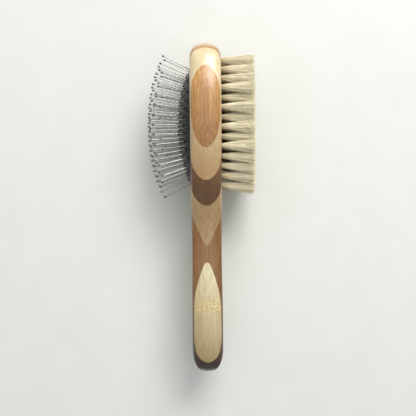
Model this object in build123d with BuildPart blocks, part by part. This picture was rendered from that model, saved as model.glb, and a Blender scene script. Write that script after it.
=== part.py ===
"""Double-sided grooming brush: a laminated bamboo body with a pin pad on one face and tufts on the other.

The brush stands on its long side edge. +Y runs along the brush towards the head, +X is the bristle
side, -X is the pin side, and +Z is across the width of the brush. Millimetres throughout.
"""

import math
import os

from build123d import *

os.makedirs("parts", exist_ok=True)

# Body outline, seen on the broad face: distance from the tip of the head, and half the width there.
LENGTH = 216.0
HEAD_HALF_WIDTH = 30.5
NECK_HALF_WIDTH = 12.38
HANDLE_HALF_WIDTH = 14.9
HEAD_END = [
    (0.0, 0.0),
    (1.5, 7.0),
    (2.9, 12.4),
    (4.5, 17.4),
    (7.8, 22.6),
    (21.0, 27.8),
    (44.0, HEAD_HALF_WIDTH),
]
SHOULDER = [(44.0, HEAD_HALF_WIDTH), (71.0, 27.5), (91.5, 22.4), (107.5, 17.5), (139.0, NECK_HALF_WIDTH)]
HANDLE = [(139.0, NECK_HALF_WIDTH), (177.0, HANDLE_HALF_WIDTH)]
BUTT_END = [(177.0, HANDLE_HALF_WIDTH), (204.0, 13.7), (212.8, 10.4), (LENGTH, 0.0)]

# Body thickness: the side edges are crowned across the thickness and rounded at the faces.
HALF_THICKNESS = 10.0
NECK_HALF_THICKNESS = 9.5
CROWN_RADIUS = 18.0
FACE_EDGE_RADIUS = 2.0
TIP_EDGE_RADIUS = 5.0
BUTT_EDGE_RADIUS = 4.0
END_REACH = 24.0
EDGE_SHARES = [1.0, 0.9, 0.5, -0.1]
FLAT_FACE_END = 106.0
THINNEST_AT = 138.0
THICKEST_AT = 178.0
BUTT_ROUNDING = 16.0
BUTT_SLACK = 0.3

# Laminations: strips glued side by side across the width, mirrored about the middle strip.
PLY = 5.0
PLY_NAMES = ["dark_1", "light_2", "dark_3", "light_4", "dark_5", "light_6", "dark_7"]

# Pin pad: an oval rubber dome whose rim sits in a groove in the recess of the pin face.
PAD_FROM_TIP = 55.5
PAD_HALF_LENGTH = 43.5
PAD_HALF_WIDTH = 21.5
DOME_HEIGHT = 8.0
RIM_DEPTH = 3.0
DOME_ROUNDNESS = 2.5
DOME_STEPS = 10
RUBBER = 1.9
RECESS_DEPTH = 7.5
GROOVE_TOP = 3.2
GROOVE_BOTTOM = 5.4
GROOVE_REACH = 1.3
RIM_CLEARANCE = 0.1
VENT_RADIUS = 0.8
VENT_OFFSET = 2.65

# Pins: steel wires with a flat head behind the rubber and a round bead on the tip.
PIN_COLUMNS = 9
PIN_COLUMN_PITCH = 4.4
PIN_PITCH = 5.3
PIN_FIELD_LIMIT = 0.88
PIN_RADIUS = 0.35
PIN_REACH = 19.5
BEAD_RADIUS = 0.8
PIN_HEAD_RADIUS = 0.9
PIN_HEAD_THICKNESS = 0.6
PIN_HEAD_PROUD = 0.3
FAN_ALONG = 1.0
FAN_ACROSS = 0.5

# Tufts: folded bristle bundles wedged into blind holes by flat anchors.
TUFT_ROWS = 14
TUFT_ROW_PITCH = 6.2
FIRST_TUFT_ROW = 13.8
TUFT_COLUMN_PITCH = 6.3
TUFT_FIELD_FROM_TIP = 54.1
TUFT_FIELD_HALF_LENGTH = 46.0
TUFT_FIELD_HALF_WIDTH = 23.5
TUFT_FIELD_BLUNTNESS = 2.6
TUFT_HOLE_RADIUS = 1.5
TUFT_HOLE_DEPTH = 8.0
TUFT_STEM_RADIUS = 1.45
TUFT_TIP_RADIUS = 2.9
TUFT_REACH = 22.0
TUFT_CROWN = 0.8
ANCHOR_LENGTH = 2.7
ANCHOR_HEIGHT = 1.6
ANCHOR_THICKNESS = 0.35
ANCHOR_LIFT = 1.0

# The brush is centred on the origin, with its lower edge at height zero.
PIN_SIDE_REACH = HALF_THICKNESS + DOME_HEIGHT + PIN_REACH + BEAD_RADIUS
BRISTLE_SIDE_REACH = HALF_THICKNESS + TUFT_REACH
CENTRE_X = (PIN_SIDE_REACH - BRISTLE_SIDE_REACH) / 2
CENTRE_Z = HEAD_HALF_WIDTH
TIP_Y = LENGTH / 2
PIN_FACE_X = CENTRE_X - HALF_THICKNESS
BRISTLE_FACE_X = CENTRE_X + HALF_THICKNESS
PAD_Y = TIP_Y - PAD_FROM_TIP
PAD_CENTRE = Vector(PIN_FACE_X, PAD_Y, CENTRE_Z)
BEYOND = 5.0


def save(part, name):
    """Label one finished piece and write it as its own STEP file."""
    part.label = name
    export_step(part, f"parts/{name}.step")


# Body blank: closed sections parallel to the broad faces, lofted through the thickness.
def edge_radius(along):
    """Rounding between the side edge and the broad faces, larger round both ends."""
    from_butt = LENGTH - along
    tip_share = max(1 - along / END_REACH, 0.0)
    butt_share = max(1 - from_butt / END_REACH, 0.0)
    tip_extra = (TIP_EDGE_RADIUS - FACE_EDGE_RADIUS) * tip_share**2
    butt_extra = (BUTT_EDGE_RADIUS - FACE_EDGE_RADIUS) * butt_share**2
    return FACE_EDGE_RADIUS + tip_extra + butt_extra


def inset_at(offset, along):
    """How far the crowned side edge draws in at a distance from the middle of the thickness."""
    radius = edge_radius(along)
    over = max(abs(offset) - (HALF_THICKNESS - radius), 0.0) / radius
    crown = CROWN_RADIUS - math.sqrt(CROWN_RADIUS**2 - offset**2)
    return crown + radius * (1 - math.sqrt(max(1 - over**2, 0.0)))


def inset_curve(stations, start_run, end_run, offset):
    """The points of one stretch of the outline, moved inwards square to the curve."""
    points = [(TIP_Y - along, half) for along, half in stations]
    with BuildLine() as line:
        Spline(*points, tangents=[start_run, end_run])
    curve = line.edges()[0]
    moved = []
    for point in points:
        run = curve % curve.param_at_point(point)
        inset = inset_at(offset, TIP_Y - point[0])
        moved.append((point[0] - inset * run.Y, point[1] + inset * run.X))
    return moved


OUTLINE = [
    (HEAD_END, (0, 1), (-1, 0)),
    (SHOULDER, (-1, 0), (-1, 0)),
    (HANDLE, (-1, 0), (-1, 0)),
    (BUTT_END, (-1, 0), (0, -1)),
]


def body_section(offset):
    """One closed section. Its edges are kept apart, which a sketch would merge into one."""
    with BuildLine() as line:
        for stations, start_run, end_run in OUTLINE:
            points = inset_curve(stations, start_run, end_run, offset)
            Spline(*points, tangents=[start_run, end_run])
    lower = [edge.mirror(Plane.XZ) for edge in line.edges()]
    place = Plane(origin=(CENTRE_X + offset, 0, CENTRE_Z), x_dir=(0, 1, 0), z_dir=(1, 0, 0))
    return place * Face(Wire([*line.edges(), *lower]))


section_offsets = [HALF_THICKNESS - FACE_EDGE_RADIUS * (1 - share) for share in EDGE_SHARES]
section_offsets += [HALF_THICKNESS / 2, 0.0]
section_offsets += [-offset for offset in reversed(section_offsets[:-1])]

with BuildPart() as blank:
    loft([body_section(offset) for offset in section_offsets])
    with BuildSketch(Plane.XY):
        with BuildLine():
            past_tip = (BRISTLE_FACE_X, TIP_Y + BEYOND)
            flat_end = (BRISTLE_FACE_X, TIP_Y - FLAT_FACE_END)
            neck = (CENTRE_X + NECK_HALF_THICKNESS, TIP_Y - THINNEST_AT)
            handle = (BRISTLE_FACE_X, TIP_Y - THICKEST_AT)
            butt_start = (BRISTLE_FACE_X, TIP_Y - LENGTH + BUTT_ROUNDING)
            Line((CENTRE_X, TIP_Y + BEYOND), past_tip)
            Line(past_tip, flat_end)
            Spline(flat_end, neck, handle, tangents=[(0, -1), (0, -1)])
            Line(handle, butt_start)
            EllipticalCenterArc(
                (CENTRE_X, TIP_Y - LENGTH + BUTT_ROUNDING),
                HALF_THICKNESS,
                BUTT_ROUNDING + BUTT_SLACK,
                start_angle=270,
                arc_size=90,
            )
            mirror(about=Plane.YZ.offset(CENTRE_X))
        make_face()
    extrude(amount=2 * HEAD_HALF_WIDTH, mode=Mode.INTERSECT)


# Pin pad: turned about a line through the middle of the pad, then stretched into an oval.
def dome_height(share):
    """Height of the rubber over the pin face, at a share of the way from the middle to the rim."""
    return (DOME_HEIGHT + RIM_DEPTH) * (1 - share**DOME_ROUNDNESS) - RIM_DEPTH


def dome_slope(share):
    """Fall of the dome for each unit of that share."""
    return -(DOME_HEIGHT + RIM_DEPTH) * DOME_ROUNDNESS * share ** (DOME_ROUNDNESS - 1)


def dome_points(drop):
    """The dome's outline from the rim to the middle, sunk by a drop, as (x, radius) pairs."""
    shares = [1 - step / DOME_STEPS for step in range(DOME_STEPS + 1)]
    return [(drop - dome_height(share), share * PAD_HALF_WIDTH) for share in shares]


def stretched(part):
    """A turned pad shape made oval and set in its place on the pin face."""
    with BuildPart() as oval:
        add(part)
        scale(by=(1, PAD_HALF_LENGTH / PAD_HALF_WIDTH, 1))
    return oval.part.moved(Location(PAD_CENTRE))


with BuildPart() as recess_round:
    with BuildSketch(Plane.XY):
        with BuildLine():
            Polyline(
                (-BEYOND, 0),
                (-BEYOND, PAD_HALF_WIDTH),
                (GROOVE_TOP, PAD_HALF_WIDTH),
                (GROOVE_TOP, PAD_HALF_WIDTH + GROOVE_REACH),
                (GROOVE_BOTTOM, PAD_HALF_WIDTH + GROOVE_REACH),
                (GROOVE_BOTTOM, PAD_HALF_WIDTH),
                (RECESS_DEPTH, PAD_HALF_WIDTH),
                (RECESS_DEPTH, 0),
                close=True,
            )
        make_face()
    revolve(axis=Axis.X)
recess = stretched(recess_round.part)

with BuildPart() as pad_round:
    with BuildSketch(Plane.XY):
        with BuildLine():
            outer = dome_points(0.0)
            inner = dome_points(RUBBER)
            rim_top = GROOVE_TOP + RIM_CLEARANCE
            rim_bottom = GROOVE_BOTTOM - RIM_CLEARANCE
            rim_edge = PAD_HALF_WIDTH + GROOVE_REACH - RIM_CLEARANCE
            wall = PAD_HALF_WIDTH - RIM_CLEARANCE
            lip = (outer[0][0], wall)
            Spline(lip, *outer[1:], tangents=[(-1, -1), (0, -1)])
            Polyline(
                lip,
                (rim_top, wall),
                (rim_top, rim_edge),
                (rim_bottom, rim_edge),
                (rim_bottom, inner[1][1]),
                inner[1],
            )
            Spline(*inner[1:], tangents=[(-1, -1), (0, -1)])
            Line(inner[-1], outer[-1])
        make_face()
    revolve(axis=Axis.X)
pad_blank = stretched(pad_round.part)


# Pins: staggered columns along the brush, square to the dome along it and half as much across it.
def pad_share(along, across):
    """0 at the middle of the pad and 1 at its rim."""
    return math.hypot(along / PAD_HALF_LENGTH, across / PAD_HALF_WIDTH)


def pin_places(column):
    """Distances of one column's pins from the middle of the pad, as (along, across) pairs."""
    across = (column - (PIN_COLUMNS - 1) / 2) * PIN_COLUMN_PITCH
    shift = PIN_PITCH / 2 * ((column + 1) % 2)
    count = math.ceil(PAD_HALF_LENGTH / PIN_PITCH)
    places = []
    for step in range(-count, count + 1):
        along = step * PIN_PITCH + shift
        if pad_share(along, across) < PIN_FIELD_LIMIT:
            places.append((along, across))
    return places


def pin_plane(along, across):
    """A plane on the inner face of the rubber whose normal points along the pin to its tip."""
    share = pad_share(along, across)
    fall = dome_slope(share) / share if share > 0 else 0.0
    lean_along = -FAN_ALONG * fall * along / PAD_HALF_LENGTH**2
    lean_across = -FAN_ACROSS * fall * across / PAD_HALF_WIDTH**2
    direction = Vector(-1, lean_along, lean_across).normalized()
    surface = PAD_CENTRE + Vector(-dome_height(share), along, across)
    return Plane(origin=surface - direction * RUBBER, z_dir=direction)


def pin_column(column):
    """All the wires of one column, each with its flat head behind the rubber."""
    with BuildPart() as pins:
        for along, across in pin_places(column):
            with BuildSketch(pin_plane(along, across).offset(-PIN_HEAD_PROUD)):
                Circle(PIN_HEAD_RADIUS)
            extrude(amount=PIN_HEAD_THICKNESS)
            with BuildSketch(pin_plane(along, across)):
                Circle(PIN_RADIUS)
            extrude(amount=RUBBER + PIN_REACH)
    return pins.part


columns = [pin_column(column) for column in range(PIN_COLUMNS)]
for column, pins in enumerate(columns):
    save(pins, f"pin_column_{column + 1}")

with BuildPart() as pin_beads:
    for column in range(PIN_COLUMNS):
        for along, across in pin_places(column):
            end_plane = pin_plane(along, across).offset(RUBBER + PIN_REACH)
            with Locations(end_plane):
                Sphere(BEAD_RADIUS)
    for pins in columns:
        add(pins, mode=Mode.SUBTRACT)
save(pin_beads.part, "pin_beads")

with BuildPart() as pin_pad:
    add(pad_blank)
    with BuildSketch(Plane(origin=PAD_CENTRE + Vector(0, VENT_OFFSET, 0), z_dir=(-1, 0, 0))):
        Circle(VENT_RADIUS)
    extrude(amount=DOME_HEIGHT + BEYOND, mode=Mode.SUBTRACT)
save(pin_pad.part, "pin_pad")


# Tufts: staggered rows across the head, kept inside a blunt oval.
def tuft_places(row):
    """Where one row's tufts stand on the bristle face, as (y, z) pairs."""
    along = FIRST_TUFT_ROW + row * TUFT_ROW_PITCH
    share = abs(along - TUFT_FIELD_FROM_TIP) / TUFT_FIELD_HALF_LENGTH
    room = (1 - share**TUFT_FIELD_BLUNTNESS) ** (1 / TUFT_FIELD_BLUNTNESS)
    reach = TUFT_FIELD_HALF_WIDTH * room
    shift = (row % 2) / 2
    steps = math.ceil(reach / TUFT_COLUMN_PITCH)
    places = []
    for step in range(-steps, steps + 1):
        across = (step + shift) * TUFT_COLUMN_PITCH
        if abs(across) <= reach:
            places.append((TIP_Y - along, CENTRE_Z + across))
    return places


ALL_TUFTS = [place for row in range(TUFT_ROWS) for place in tuft_places(row)]
HOLE_FLOOR_X = BRISTLE_FACE_X - TUFT_HOLE_DEPTH
ANCHOR_X = HOLE_FLOOR_X + ANCHOR_LIFT + ANCHOR_HEIGHT / 2


def anchors_at(places):
    """The flat anchor that crosses the foot of each tuft."""
    with BuildPart() as anchors:
        with Locations([(ANCHOR_X, y, z) for y, z in places]):
            Box(ANCHOR_HEIGHT, ANCHOR_THICKNESS, ANCHOR_LENGTH)
    return anchors.part


def tuft_row(places):
    """One row of bundles: a stem in the hole that spreads towards the tips, notched for its anchor."""
    with BuildPart() as single:
        with BuildSketch(Plane.XY):
            with BuildLine():
                crown_start = (BRISTLE_FACE_X + TUFT_REACH - TUFT_CROWN, TUFT_TIP_RADIUS)
                crown_top = (BRISTLE_FACE_X + TUFT_REACH, 0)
                Polyline(
                    (HOLE_FLOOR_X, 0),
                    (HOLE_FLOOR_X, TUFT_STEM_RADIUS),
                    (BRISTLE_FACE_X, TUFT_STEM_RADIUS),
                    crown_start,
                )
                Spline(crown_start, crown_top, tangents=[(1, -1), (0, -1)])
                Line(crown_top, (HOLE_FLOOR_X, 0))
            make_face()
        revolve(axis=Axis.X)
    with BuildPart() as row:
        with Locations([(0, y, z) for y, z in places]):
            add(single.part)
        add(anchors_at(places), mode=Mode.SUBTRACT)
    return row.part


for row in range(TUFT_ROWS):
    save(tuft_row(tuft_places(row)), f"tuft_row_{row + 1:02d}")
save(anchors_at(ALL_TUFTS), "tuft_anchors")

# Bamboo strips: the blank with its recess and tuft holes, sliced at the glue lines.
with BuildPart() as body:
    add(blank.part)
    add(recess, mode=Mode.SUBTRACT)
    with BuildSketch(Plane.YZ.offset(HOLE_FLOOR_X)):
        with Locations(ALL_TUFTS):
            Circle(TUFT_HOLE_RADIUS)
    extrude(amount=TUFT_HOLE_DEPTH + BEYOND, mode=Mode.SUBTRACT)


def strip_between(low, high):
    """The part of the body between two heights."""
    with BuildPart() as strip:
        add(body.part)
        with BuildSketch(Plane.XY.offset(low)):
            Rectangle(2 * LENGTH, 2 * LENGTH)
        extrude(amount=high - low, mode=Mode.INTERSECT)
    return strip.part


for layer, ply_name in enumerate(PLY_NAMES):
    outward = layer * PLY
    if layer == 0:
        save(strip_between(CENTRE_Z - PLY / 2, CENTRE_Z + PLY / 2), f"bamboo_{ply_name}_middle")
        continue
    inner_face = outward - PLY / 2
    outer_face = outward + PLY / 2
    slices = {
        "upper": strip_between(CENTRE_Z + inner_face, CENTRE_Z + outer_face),
        "lower": strip_between(CENTRE_Z - outer_face, CENTRE_Z - inner_face),
    }
    for side_name, strip in slices.items():
        pieces = strip.solids().sort_by(Axis.Y, reverse=True)
        if len(pieces) == 1:
            save(pieces[0], f"bamboo_{ply_name}_{side_name}")
        else:
            save(pieces[0], f"bamboo_{ply_name}_head_{side_name}")
            save(pieces[1], f"bamboo_{ply_name}_handle_{side_name}")
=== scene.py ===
"""Double-sided grooming brush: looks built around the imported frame, in metres, in the frame's axes.

+Y runs to the head's tip, +X is the bristle side, -X the pin side, +Z across the width of the brush.
"""

import math
import random

import bpy
import numpy as np
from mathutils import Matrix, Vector


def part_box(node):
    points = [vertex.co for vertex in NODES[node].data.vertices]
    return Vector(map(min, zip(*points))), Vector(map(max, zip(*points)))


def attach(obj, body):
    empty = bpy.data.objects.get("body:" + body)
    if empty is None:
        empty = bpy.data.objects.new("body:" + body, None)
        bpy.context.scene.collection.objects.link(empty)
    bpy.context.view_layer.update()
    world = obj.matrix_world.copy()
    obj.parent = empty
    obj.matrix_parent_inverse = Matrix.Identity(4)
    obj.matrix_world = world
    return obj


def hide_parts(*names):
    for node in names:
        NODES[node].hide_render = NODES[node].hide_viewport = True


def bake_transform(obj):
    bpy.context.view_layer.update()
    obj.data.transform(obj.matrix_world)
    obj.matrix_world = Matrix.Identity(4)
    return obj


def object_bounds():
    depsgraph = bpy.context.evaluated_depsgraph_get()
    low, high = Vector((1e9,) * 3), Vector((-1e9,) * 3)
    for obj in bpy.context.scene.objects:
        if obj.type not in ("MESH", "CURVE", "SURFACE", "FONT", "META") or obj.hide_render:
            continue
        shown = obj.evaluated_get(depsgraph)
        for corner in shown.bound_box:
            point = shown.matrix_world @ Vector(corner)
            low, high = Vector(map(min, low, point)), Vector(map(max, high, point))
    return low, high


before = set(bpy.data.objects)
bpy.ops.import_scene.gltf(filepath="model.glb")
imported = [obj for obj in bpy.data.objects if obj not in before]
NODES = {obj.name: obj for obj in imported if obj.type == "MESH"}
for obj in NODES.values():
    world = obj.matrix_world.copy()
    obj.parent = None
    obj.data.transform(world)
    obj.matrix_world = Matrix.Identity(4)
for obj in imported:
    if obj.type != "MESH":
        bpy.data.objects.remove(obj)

CAD_LOW, CAD_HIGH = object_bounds()
MM = 0.001
ROOT = "brush_body"

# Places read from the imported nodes.
core_low, core_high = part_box("bamboo_dark_1_middle")
CENTRE = (core_low + core_high) / 2
TIP_Y = core_high.y
pad_low, pad_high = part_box("pin_pad")
PAD_Y = (pad_low.y + pad_high.y) / 2
PIN_FACE_X = core_low.x
BRISTLE_FACE_X = core_high.x

# Pin pad, as the frame has it: an oval dome with a rim that sits below the pin face. The rim reaches
# past the oval by twice PAD_RIM along the brush, and by PAD_RIM across it.
PAD_RIM = 1.2 * MM
PAD_HALF_LENGTH = (pad_high.y - pad_low.y) / 2 - 2 * PAD_RIM
PAD_HALF_WIDTH = (pad_high.z - pad_low.z) / 2 - PAD_RIM
RIM_DEPTH = 3.0 * MM
DOME_HEIGHT = PIN_FACE_X - pad_low.x
DOME_ROUNDNESS = 2.5
RUBBER = 1.9 * MM


# ---------------------------------------------------------------- node helpers
def new_material(name):
    """An empty node material with its output and shader."""
    material = bpy.data.materials.new(name)
    material.use_nodes = True
    nodes = material.node_tree.nodes
    nodes.clear()
    output = nodes.new("ShaderNodeOutputMaterial")
    shader = nodes.new("ShaderNodeBsdfPrincipled")
    material.node_tree.links.new(shader.outputs[0], output.inputs[0])
    return material, nodes, material.node_tree.links, shader


def socket(node, name, value):
    """Set one input of a node by name."""
    node.inputs[name].default_value = value


def placed(nodes, links, scale, shift=(0, 0, 0)):
    """Object coordinates stretched by a scale, in cells per metre."""
    coords = nodes.new("ShaderNodeTexCoord")
    mapping = nodes.new("ShaderNodeMapping")
    socket(mapping, "Scale", scale)
    socket(mapping, "Location", shift)
    links.new(coords.outputs["Object"], mapping.inputs["Vector"])
    return mapping.outputs["Vector"]


def noise(nodes, links, vector, scale=1.0, detail=4.0, roughness=0.5, distortion=0.0):
    """A noise texture read at a vector."""
    texture = nodes.new("ShaderNodeTexNoise")
    socket(texture, "Scale", scale)
    socket(texture, "Detail", detail)
    socket(texture, "Roughness", roughness)
    socket(texture, "Distortion", distortion)
    links.new(vector, texture.inputs["Vector"])
    return texture.outputs["Fac"]


def ramp(nodes, links, value, stops):
    """A colour ramp with stops of (position, colour)."""
    node = nodes.new("ShaderNodeValToRGB")
    elements = node.color_ramp.elements
    while len(elements) < len(stops):
        elements.new(0.5)
    for element, (position, colour) in zip(elements, stops):
        element.position = position
        element.color = (*colour, 1.0)
    links.new(value, node.inputs[0])
    return node.outputs[0]


def mix(nodes, links, factor, first, second, blend="MIX"):
    """Mix two colours, each a socket or a plain colour, by a factor that is a socket or a number."""
    node = nodes.new("ShaderNodeMix")
    node.data_type = "RGBA"
    node.blend_type = blend
    for value, slot in ((factor, 0), (first, 6), (second, 7)):
        if isinstance(value, bpy.types.NodeSocket):
            links.new(value, node.inputs[slot])
        elif slot == 0:
            node.inputs[slot].default_value = value
        else:
            node.inputs[slot].default_value = (*value, 1.0)
    return node.outputs[2]


def maths(nodes, links, operation, first, second=0.0):
    """A maths node on two sockets or numbers."""
    node = nodes.new("ShaderNodeMath")
    node.operation = operation
    for index, value in enumerate((first, second)):
        if isinstance(value, bpy.types.NodeSocket):
            links.new(value, node.inputs[index])
        else:
            node.inputs[index].default_value = value
    return node.outputs[0]


def remap(nodes, links, value, low, high, new_low, new_high):
    """A clamped linear remap."""
    node = nodes.new("ShaderNodeMapRange")
    links.new(value, node.inputs["Value"])
    socket(node, "From Min", low)
    socket(node, "From Max", high)
    socket(node, "To Min", new_low)
    socket(node, "To Max", new_high)
    return node.outputs["Result"]


def bump(nodes, links, shader, height, strength, distance):
    """Bump from a height socket."""
    node = nodes.new("ShaderNodeBump")
    socket(node, "Strength", strength)
    socket(node, "Distance", distance)
    links.new(height, node.inputs["Height"])
    links.new(node.outputs[0], shader.inputs["Normal"])


# ---------------------------------------------------------------- materials
WHITE = (1.0, 1.0, 1.0)
LIGHT_TONES = [(0.66, 0.50, 0.27), (0.80, 0.66, 0.40), (0.88, 0.76, 0.50)]
DARK_TONES = [(0.34, 0.148, 0.038), (0.52, 0.255, 0.078), (0.66, 0.365, 0.125)]
FIBRE_SHADE = (0.50, 0.42, 0.36)
JOINT_TINT = (0.80, 0.64, 0.30)
JOINT_SPECKLE = (0.42, 0.27, 0.10)
JOINT_CORE = 2.5 * MM
JOINT_EDGE = 6.0 * MM
BRISTLE_TONES = [(0.95, 0.82, 0.54), (1.0, 0.91, 0.66), (1.0, 0.96, 0.78)]
BRISTLE_ROOT_PAINTED_SHADE = (0.74, 0.55, 0.32)
BRISTLE_PAINTED_SHADE_REACH = 7 * MM


def bamboo(name, tones, grain, shift, painted_shade_ends, joint_y=None):
    """Varnished bamboo: fibres along the brush, a tone that drifts at random, painted light and shade
    along it, a speckled stem joint.
    """
    material, nodes, links, shader = new_material(name)
    drift = noise(nodes, links, placed(nodes, links, (90, 9, 90), shift), detail=3.0)
    streak_cells = placed(nodes, links, (1500, 14, 1500), shift)
    streaks = noise(nodes, links, streak_cells, detail=5.0, roughness=0.6)
    fibre_cells = placed(nodes, links, (1700, 110, 1700), shift)
    fibres = noise(nodes, links, fibre_cells, detail=4.0, roughness=0.7)
    blend = maths(nodes, links, "MULTIPLY", drift, 0.35)
    blend = maths(nodes, links, "ADD", blend, maths(nodes, links, "MULTIPLY", streaks, 0.65))
    colour = ramp(nodes, links, blend, [(0.36, tones[0]), (0.5, tones[1]), (0.64, tones[2])])
    dashes = ramp(nodes, links, fibres, [(0.36, FIBRE_SHADE), (0.47, WHITE)])
    colour = mix(nodes, links, grain, colour, dashes, "MULTIPLY")
    coords = nodes.new("ShaderNodeTexCoord")
    split = nodes.new("ShaderNodeSeparateXYZ")
    links.new(coords.outputs["Object"], split.inputs[0])
    # Painted light and shade: the colour is scaled from one given tone near the tip to another further
    # along, brighter where the strip faces the light and darker where it turns away.
    (first_y, first_painted_shade), (last_y, last_painted_shade) = painted_shade_ends
    along = remap(nodes, links, split.outputs[1], first_y, last_y, 0.0, 1.0)
    painted_shade = mix(nodes, links, along, first_painted_shade, last_painted_shade)
    colour = mix(nodes, links, 1.0, colour, painted_shade, "MULTIPLY")
    if joint_y is not None:
        offset = maths(nodes, links, "SUBTRACT", split.outputs[1], joint_y)
        away = maths(nodes, links, "ABSOLUTE", offset)
        band = remap(nodes, links, away, JOINT_CORE, JOINT_EDGE, 1.0, 0.0)
        speckle = noise(nodes, links, placed(nodes, links, (800, 620, 800), shift), detail=2.0)
        spots = remap(nodes, links, speckle, 0.47, 0.56, 0.0, 1.0)
        spots = maths(nodes, links, "MULTIPLY", spots, band)
        tint = mix(nodes, links, maths(nodes, links, "MULTIPLY", band, 0.45), colour, JOINT_TINT)
        spots = maths(nodes, links, "MULTIPLY", spots, 0.6)
        colour = mix(nodes, links, spots, tint, JOINT_SPECKLE)
    links.new(colour, shader.inputs["Base Color"])
    rough = remap(nodes, links, streaks, 0.3, 0.7, 0.36, 0.50)
    links.new(rough, shader.inputs["Roughness"])
    socket(shader, "Coat Weight", 1.0)
    socket(shader, "Coat Roughness", 0.24)
    bump(nodes, links, shader, fibres, 0.12, 0.0002)
    return material


def rubber():
    """Moulded black rubber with a faint mottling."""
    material, nodes, links, shader = new_material("black_rubber")
    mottle = noise(nodes, links, placed(nodes, links, (260, 260, 260)), detail=5.0)
    blacks = [(0.35, (0.006, 0.006, 0.006)), (0.65, (0.016, 0.016, 0.015))]
    colour = ramp(nodes, links, mottle, blacks)
    links.new(colour, shader.inputs["Base Color"])
    grain = noise(nodes, links, placed(nodes, links, (5200, 5200, 5200)), detail=2.0)
    links.new(remap(nodes, links, grain, 0.3, 0.7, 0.18, 0.30), shader.inputs["Roughness"])
    socket(shader, "Specular IOR Level", 0.4)
    bump(nodes, links, shader, grain, 0.15, 0.0001)
    return material


def steel(name, dark, light, rough_low, rough_high):
    """Drawn steel with fine scratches."""
    material, nodes, links, shader = new_material(name)
    scratch = noise(nodes, links, placed(nodes, links, (900, 5200, 5200)), detail=4.0)
    links.new(ramp(nodes, links, scratch, [(0.3, dark), (0.7, light)]), shader.inputs["Base Color"])
    links.new(remap(nodes, links, scratch, 0.3, 0.7, rough_low, rough_high), shader.inputs["Roughness"])
    socket(shader, "Metallic", 1.0)
    bump(nodes, links, shader, scratch, 0.08, 0.00005)
    return material


def bristle():
    """Cream fibre, each strand a little different, with painted shade, warmer and darker, towards the
    roots.
    """
    material, nodes, links, shader = new_material("bristle_fibre")
    strands = noise(nodes, links, placed(nodes, links, (40, 2600, 2600)), detail=3.0)
    colour = ramp(nodes, links, strands, list(zip((0.32, 0.48, 0.64), BRISTLE_TONES)))
    coords = nodes.new("ShaderNodeTexCoord")
    split = nodes.new("ShaderNodeSeparateXYZ")
    links.new(coords.outputs["Object"], split.inputs[0])
    # Painted shade: the colour is mixed towards a darker, warmer tone near the roots, where the tufts
    # shade each other.
    root_end = BRISTLE_FACE_X + BRISTLE_PAINTED_SHADE_REACH
    root = remap(nodes, links, split.outputs[0], BRISTLE_FACE_X, root_end, 0.4, 0.0)
    colour = mix(nodes, links, root, colour, BRISTLE_ROOT_PAINTED_SHADE)
    links.new(colour, shader.inputs["Base Color"])
    links.new(remap(nodes, links, strands, 0.3, 0.7, 0.42, 0.6), shader.inputs["Roughness"])
    socket(shader, "Sheen Weight", 1.0)
    socket(shader, "Sheen Roughness", 0.5)
    socket(shader, "Sheen Tint", (1.0, 0.90, 0.66, 1.0))
    socket(shader, "Specular IOR Level", 0.6)
    bump(nodes, links, shader, strands, 0.1, 0.00005)
    return material


def paper():
    """Plain pale ground with the faintest grain."""
    material, nodes, links, shader = new_material("pale_ground")
    grain = noise(nodes, links, placed(nodes, links, (40, 40, 40)), detail=6.0)
    colour = ramp(nodes, links, grain, [(0.3, (0.775, 0.79, 0.755)), (0.7, (0.80, 0.81, 0.785))])
    links.new(colour, shader.inputs["Base Color"])
    socket(shader, "Roughness", 0.9)
    socket(shader, "Specular IOR Level", 0.1)
    return material


def wear(node, material):
    """Give a carried-over CAD node one material."""
    mesh = NODES[node].data
    mesh.materials.clear()
    mesh.materials.append(material)


# ---------------------------------------------------------------- mesh helpers
def mesh_object(name, points, faces, material, smooth=True):
    """A mesh object from vertex and face lists."""
    mesh = bpy.data.meshes.new(name)
    mesh.from_pydata(points, [], faces)
    mesh.validate()
    mesh.update()
    mesh.materials.append(material)
    mesh.polygons.foreach_set("use_smooth", [smooth] * len(mesh.polygons))
    obj = bpy.data.objects.new(name, mesh)
    bpy.context.scene.collection.objects.link(obj)
    return obj


# ---------------------------------------------------------------- bamboo body
# Where a strip's stem joint shows as a speckled band.
HANDLE_JOINT_Y = TIP_Y - 172 * MM
JOINTS = {
    "bamboo_light_4_handle_upper": HANDLE_JOINT_Y,
    "bamboo_light_4_handle_lower": HANDLE_JOINT_Y + 9 * MM,
    "bamboo_light_2_upper": TIP_Y - 128 * MM,
    "bamboo_dark_3_lower": TIP_Y - 150 * MM,
    "bamboo_dark_1_middle": TIP_Y - 190 * MM,
}

# Painted light and shade along each strip, as a tone at two distances from the tip, in millimetres: a
# painted sheen near the tip, painted shade where the surface turns away from the light towards the
# shoulder and the butt, with some of the strips' own difference in tone.
STRIP_PAINTED_SHADES = {
    "dark_7": ((28, (1.10, 1.10, 1.06)), (70, (0.70, 0.64, 0.56))),
    "light_6": ((22, WHITE), (84, (0.60, 0.45, 0.34))),
    "dark_5": ((14, WHITE), (96, (0.24, 0.20, 0.16))),
    "light_4_head": ((14, WHITE), (112, (0.49, 0.38, 0.28))),
    "light_4_handle": ((150, (0.88, 0.92, 0.92)), (206, (0.52, 0.46, 0.36))),
    "dark_3": ((150, (0.48, 0.41, 0.32)), (210, (0.07, 0.055, 0.045))),
    "dark_1": ((130, (0.50, 0.45, 0.38)), (212, (0.09, 0.08, 0.07))),
    "light_2": ((130, WHITE), (214, (0.30, 0.26, 0.22))),
}
LIGHT_GRAIN = 0.3
DARK_GRAIN = 0.75
GRAIN_SHIFT = 40
shift_source = random.Random(11)
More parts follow.
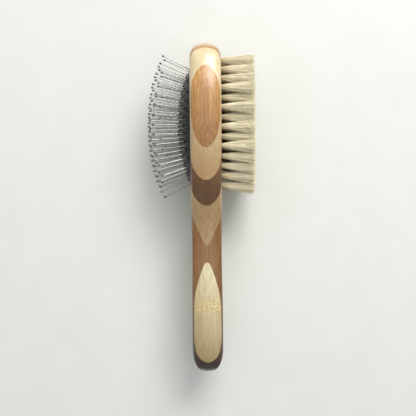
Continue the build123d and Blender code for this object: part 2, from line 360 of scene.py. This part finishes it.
for node in sorted(NODES):
    if not node.startswith("bamboo"):
        continue
    tones, grain = (LIGHT_TONES, LIGHT_GRAIN) if "light" in node else (DARK_TONES, DARK_GRAIN)
    strip = next(part for part in STRIP_PAINTED_SHADES if part in node)
    painted_shade_points = [(TIP_Y - along * MM, painted_shade) for along, painted_shade in STRIP_PAINTED_SHADES[strip]]
    shift = tuple(shift_source.uniform(-GRAIN_SHIFT, GRAIN_SHIFT) for _ in range(3))
    wear(node, bamboo(f"mat_{node}", tones, grain, shift, painted_shade_points, JOINTS.get(node)))

# ---------------------------------------------------------------- pins and anchors
PIN_STEEL = steel("pin_steel", (0.32, 0.315, 0.305), (0.54, 0.535, 0.515), 0.22, 0.34)
BEAD_STEEL = steel("bead_steel", (0.20, 0.195, 0.185), (0.34, 0.335, 0.315), 0.20, 0.32)
ANCHOR_STEEL = steel("anchor_wire", (0.45, 0.45, 0.44), (0.65, 0.65, 0.63), 0.3, 0.45)
PIN_NODES = sorted(name for name in NODES if name.startswith("pin_column"))
for node in PIN_NODES:
    wear(node, PIN_STEEL)
wear("pin_beads", BEAD_STEEL)
wear("tuft_anchors", ANCHOR_STEEL)


# ---------------------------------------------------------------- rubber pad
PIN_END = 1.5 * MM
COLLAR_DEPTH = 0.4 * MM


def islands(node):
    """The separate solids of a node, each as an array of its points."""
    mesh = NODES[node].data
    points = np.zeros(len(mesh.vertices) * 3)
    mesh.vertices.foreach_get("co", points)
    points = points.reshape(-1, 3)
    _, first, back = np.unique(np.round(points, 6), axis=0, return_index=True, return_inverse=True)
    back = back.reshape(-1)
    parent = np.arange(len(first))

    def root(index):
        while parent[index] != index:
            parent[index] = parent[parent[index]]
            index = parent[index]
        return index

    for edge in mesh.edges:
        one = root(back[edge.vertices[0]])
        other = root(back[edge.vertices[1]])
        parent[one] = other
    groups = {}
    for index in range(len(first)):
        groups.setdefault(root(index), []).append(points[first[index]])
    return [np.array(group) for group in groups.values()]


def pin_bases():
    """Where each pin comes through the rubber, as (y, z) pairs."""
    bases = []
    for node in PIN_NODES:
        for solid in islands(node):
            inner = solid[solid[:, 0] > solid[:, 0].max() - PIN_END].mean(axis=0)
            outer = solid[solid[:, 0] < solid[:, 0].min() + PIN_END].mean(axis=0)
            run = (outer - inner) / np.linalg.norm(outer - inner)
            through = inner + run * (RUBBER + COLLAR_DEPTH)
            bases.append((through[1], through[2]))
    return bases


def dome_height(share):
    """Height of the rubber over the pin face at a share of the way from the middle to the rim."""
    return (DOME_HEIGHT + RIM_DEPTH) * (1 - share**DOME_ROUNDNESS) - RIM_DEPTH


PAD_RINGS = 92
PAD_SPOKES = 400
NIPPLE_RADIUS = 1.5 * MM
NIPPLE_HEIGHT = 0.75 * MM
VENT_RADIUS = 0.8 * MM
VENT_DEPTH = 1.5 * MM
VENT_Y = PAD_Y + 2.65 * MM
LIP_DEPTH = 3.35 * MM
SOLE_DEPTH = 5.2 * MM
LIP_START = -0.05 * MM
LIP_REACH = 1.15 * MM
SOLE_START = -1.6 * MM
RIM_RINGS = [
    (LIP_DEPTH, LIP_START),
    (LIP_DEPTH, LIP_REACH),
    (SOLE_DEPTH, LIP_REACH),
    (SOLE_DEPTH, SOLE_START),
]
INNER_RINGS = PAD_RINGS - 2


def pad_surface(with_nipples, drop):
    """Rings of points over the dome, from the middle outwards, sunk by a drop."""
    shares = (np.arange(1, PAD_RINGS + 1) / PAD_RINGS)[:, None]
    turns = (np.arange(PAD_SPOKES) / PAD_SPOKES * 2 * math.pi)[None, :]
    y = PAD_Y + PAD_HALF_LENGTH * shares * np.cos(turns)
    z = CENTRE.z + PAD_HALF_WIDTH * shares * np.sin(turns)
    height = dome_height(np.repeat(shares, PAD_SPOKES, axis=1)) - drop
    y = np.concatenate([[PAD_Y], y.ravel()])
    z = np.concatenate([[CENTRE.z], z.ravel()])
    height = np.concatenate([[DOME_HEIGHT - drop], height.ravel()])
    if with_nipples:
        for base_y, base_z in pin_bases():
            away = np.hypot(y - base_y, z - base_z) / NIPPLE_RADIUS
            near = away < 1
            height[near] += NIPPLE_HEIGHT * (1 - away[near] ** 2) ** 2
        vent = np.hypot(y - VENT_Y, z - CENTRE.z) < VENT_RADIUS
        height[vent] -= VENT_DEPTH
    return np.stack([PIN_FACE_X - height, y, z], axis=1)


def pad_ring(depth, reach):
    """One ring of the rim, at a depth under the face and a reach beyond the pad's oval."""
    turns = np.arange(PAD_SPOKES) / PAD_SPOKES * 2 * math.pi
    y = PAD_Y + (PAD_HALF_LENGTH + 2 * reach) * np.cos(turns)
    z = CENTRE.z + (PAD_HALF_WIDTH + reach) * np.sin(turns)
    return np.stack([np.full(PAD_SPOKES, PIN_FACE_X + depth), y, z], axis=1)


def ring_faces(first, second, flip):
    """Quads between two rings that start at these point numbers."""
    faces = []
    for spoke in range(PAD_SPOKES):
        after = (spoke + 1) % PAD_SPOKES
        quad = (first + spoke, first + after, second + after, second + spoke)
        faces.append(quad[::-1] if flip else quad)
    return faces


def build_pad():
    """The air cushion: domed outside with a raised collar round each pin, plain inside, one rim."""
    top = pad_surface(True, 0.0)
    bottom = pad_surface(False, RUBBER)
    bottom = bottom[: 1 + INNER_RINGS * PAD_SPOKES]
    rims = [pad_ring(depth, reach) for depth, reach in RIM_RINGS]
    points = np.concatenate([top, *rims, bottom])
    rim_start = len(top)
    bottom_start = rim_start + len(rims) * PAD_SPOKES
    faces = []
    for start, rings, flip in ((0, PAD_RINGS, True), (bottom_start, INNER_RINGS, False)):
        for spoke in range(PAD_SPOKES):
            after = (spoke + 1) % PAD_SPOKES
            cap = (start, start + 1 + spoke, start + 1 + after)
            faces.append(cap[::-1] if flip else cap)
        for ring in range(rings - 1):
            inner = start + 1 + ring * PAD_SPOKES
            faces += ring_faces(inner, inner + PAD_SPOKES, not flip)
    edge = [1 + (PAD_RINGS - 1) * PAD_SPOKES]
    edge += [rim_start + index * PAD_SPOKES for index in range(len(rims))]
    edge.append(bottom_start + 1 + (INNER_RINGS - 1) * PAD_SPOKES)
    for first, second in zip(edge, edge[1:]):
        faces += ring_faces(first, second, False)
    return mesh_object("air_cushion", points.tolist(), faces, rubber())


cushion = build_pad()
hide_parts("pin_pad")
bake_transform(cushion)

# ---------------------------------------------------------------- bristle tufts
# STRAND_SCATTER is a share of LENGTH_SCATTER or of a millimetre, BOW_SCATTER and the stem's radii are in
# millimetres, and LEAN_SCATTER is a slope.
BRISTLES_PER_TUFT = 165
BRISTLE_RADIUS = 0.125 * MM
ROOT_SPREAD = 1.15 * MM
TIP_SPREAD = 4.5 * MM
BRISTLE_LENGTH = 21.4 * MM
LENGTH_SCATTER = 1.1 * MM
LEAN_TO_HEAD = -0.045
FIELD_FAN = -0.01
FIELD_Y = TIP_Y - 54 * MM
FIELD_HALF_LENGTH = 40.3 * MM
FIELD_HALF_WIDTH = 22.0 * MM
STRAND_SCATTER = 0.35
BOW_SCATTER = 0.22
LEAN_SCATTER = 0.012
TAPER = 0.55
STEPS = [0.0, 0.3, 0.65, 1.0]
SIDES = 4
STEM_SIDES = 12
ROOT_SINK = 0.6 * MM
STEM_TOP = 0.7 * MM
STEM_FOOT_RADIUS = 1.40
STEM_FACE_RADIUS = 1.42
STEM_TOP_RADIUS = 0.9


def one_bristle(points, faces, root, tip, bow, thickness):
    """A thin tapered strand from its root to its tip, bowed sideways."""
    start = len(points)
    for step in STEPS:
        middle = root.lerp(tip, step) + bow * (step * (1 - step) * 4)
        width = thickness * (1 - TAPER * step**2)
        for side in range(SIDES):
            turn = 2 * math.pi * (side + 0.5) / SIDES
            y = middle.y + width * math.cos(turn)
            z = middle.z + width * math.sin(turn)
            points.append((middle.x, y, z))
    for ring in range(len(STEPS) - 1):
        for side in range(SIDES):
            after = (side + 1) % SIDES
            low = start + ring * SIDES
            high = low + SIDES
            faces.append((low + side, low + after, high + after, high + side))
    faces.append(tuple(start + side for side in reversed(range(SIDES))))
    faces.append(tuple(start + (len(STEPS) - 1) * SIDES + side for side in range(SIDES)))


def stem(points, faces, y, z, floor_x):
    """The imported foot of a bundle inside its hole."""
    start = len(points)
    rings = [
        (floor_x, STEM_FOOT_RADIUS),
        (BRISTLE_FACE_X - ROOT_SINK, STEM_FACE_RADIUS),
        (BRISTLE_FACE_X + STEM_TOP, STEM_TOP_RADIUS),
    ]
    for x, radius in rings:
        for side in range(STEM_SIDES):
            turn = 2 * math.pi * side / STEM_SIDES
            out_y = radius * MM * math.cos(turn)
            out_z = radius * MM * math.sin(turn)
            points.append((x, y + out_y, z + out_z))
    for ring in range(len(rings) - 1):
        for side in range(STEM_SIDES):
            after = (side + 1) % STEM_SIDES
            low = start + ring * STEM_SIDES
            high = low + STEM_SIDES
            faces.append((low + side, low + after, high + after, high + side))
    faces.append(tuple(start + side for side in reversed(range(STEM_SIDES))))
    last = start + (len(rings) - 1) * STEM_SIDES
    faces.append(tuple(last + side for side in range(STEM_SIDES)))


def build_tuft_row(node, material):
    """All the strands of one row, spread about the bundles that the frame has there."""
    chance = random.Random(node)
    points = []
    faces = []
    for solid in islands(node):
        low = solid.min(axis=0)
        high = solid.max(axis=0)
        y = (low[1] + high[1]) / 2
        z = (low[2] + high[2]) / 2
        stem(points, faces, y, z, low[0])
        fan_z = FIELD_FAN * ((z - CENTRE.z) / FIELD_HALF_WIDTH) ** 3
        fan_y = FIELD_FAN * ((y - FIELD_Y) / FIELD_HALF_LENGTH) ** 3
        lean_z = chance.gauss(0, LEAN_SCATTER) + fan_z
        lean_y = LEAN_TO_HEAD + chance.gauss(0, LEAN_SCATTER) + fan_y
        for _ in range(BRISTLES_PER_TUFT):
            turn = chance.uniform(0, 2 * math.pi)
            share = math.sqrt(chance.random())
            length = BRISTLE_LENGTH + chance.gauss(0, STRAND_SCATTER) * LENGTH_SCATTER
            length -= LENGTH_SCATTER * share * chance.random()
            root_y = y + ROOT_SPREAD * share * math.cos(turn)
            root_z = z + ROOT_SPREAD * share * math.sin(turn)
            reach = TIP_SPREAD * share * chance.uniform(0.75, 1.1)
            tip_y = y + reach * math.cos(turn) + lean_y * length + chance.gauss(0, STRAND_SCATTER) * MM
            tip_z = z + reach * math.sin(turn) + lean_z * length + chance.gauss(0, STRAND_SCATTER) * MM
            root = Vector((BRISTLE_FACE_X - ROOT_SINK, root_y, root_z))
            tip = Vector((BRISTLE_FACE_X + length, tip_y, tip_z))
            bow_y = chance.gauss(0, BOW_SCATTER) * MM
            bow_z = chance.gauss(0, BOW_SCATTER) * MM
            bow = Vector((0, bow_y, bow_z))
            thickness = BRISTLE_RADIUS * chance.uniform(0.8, 1.15)
            one_bristle(points, faces, root, tip, bow, thickness)
    return mesh_object(node.replace("row", "strands"), points, faces, material)


bristle_material = bristle()
for node in sorted(name for name in NODES if name.startswith("tuft_row")):
    strands = build_tuft_row(node, bristle_material)
    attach(strands, ROOT)
    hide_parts(node)


# ---------------------------------------------------------------- ground, light and camera
def area_light(name, place, target, size, power, colour):
    """A soft rectangular light aimed at a point."""
    data = bpy.data.lights.new(name, "AREA")
    data.shape = "RECTANGLE"
    data.size = size[0]
    data.size_y = size[1]
    data.energy = power
    data.color = colour
    light = bpy.data.objects.new(name, data)
    bpy.context.scene.collection.objects.link(light)
    light.location = place
    light.rotation_mode = "QUATERNION"
    light.rotation_quaternion = (Vector(target) - Vector(place)).to_track_quat("-Z", "Y")


GROUND_HALF = 3.0
GROUND_GAP = 0.0002
ground_corners = [(-1, -1), (1, -1), (1, 1), (-1, 1)]
ground = mesh_object(
    "ground",
    [(x * GROUND_HALF, y * GROUND_HALF, CAD_LOW.z - GROUND_GAP) for x, y in ground_corners],
    [(0, 1, 2, 3)],
    paper(),
    smooth=False,
)

WINDOW_PLACE = (0.32, 0.74, 0.82)
WINDOW_TARGET = (0.0, 0.02, 0.03)
WINDOW_SIZE = (0.66, 0.50)
WINDOW_COLOUR = (1.0, 0.985, 0.955)
SKY_PLACE = (0.15, 0.50, 1.35)
SKY_TARGET = (0, 0, 0)
SKY_SIZE = (2.2, 2.2)
SKY_COLOUR = (0.98, 1.0, 1.0)
LIGHT_POWER = 9.2
area_light("window", WINDOW_PLACE, WINDOW_TARGET, WINDOW_SIZE, LIGHT_POWER, WINDOW_COLOUR)
area_light("sky", SKY_PLACE, SKY_TARGET, SKY_SIZE, LIGHT_POWER, SKY_COLOUR)

world = bpy.data.worlds.new("studio")
world.use_nodes = True
backdrop = world.node_tree.nodes["Background"]
backdrop.inputs["Color"].default_value = (0.93, 0.96, 0.95, 1.0)
backdrop.inputs["Strength"].default_value = 0.40
bpy.context.scene.world = world

CAMERA_DISTANCE = 0.50
VIEW_WIDTH = 0.2748
VIEW_SHIFT = 0.0009
VIEW_FROM_TIP = 109 * MM
VIEW_TURN = -0.55
SENSOR = 36.0
camera_data = bpy.data.cameras.new("camera")
camera_data.sensor_width = SENSOR
camera_data.lens = SENSOR * CAMERA_DISTANCE / VIEW_WIDTH
camera_data.clip_start = 0.01
camera_data.clip_end = 20.0
camera = bpy.data.objects.new("camera", camera_data)
bpy.context.scene.collection.objects.link(camera)
camera.location = (CENTRE.x + VIEW_SHIFT, TIP_Y - VIEW_FROM_TIP, CENTRE.z + CAMERA_DISTANCE)
camera.rotation_euler = (0.0, 0.0, math.radians(VIEW_TURN))
bpy.context.scene.camera = camera

bpy.context.scene.view_settings.view_transform = "Standard"
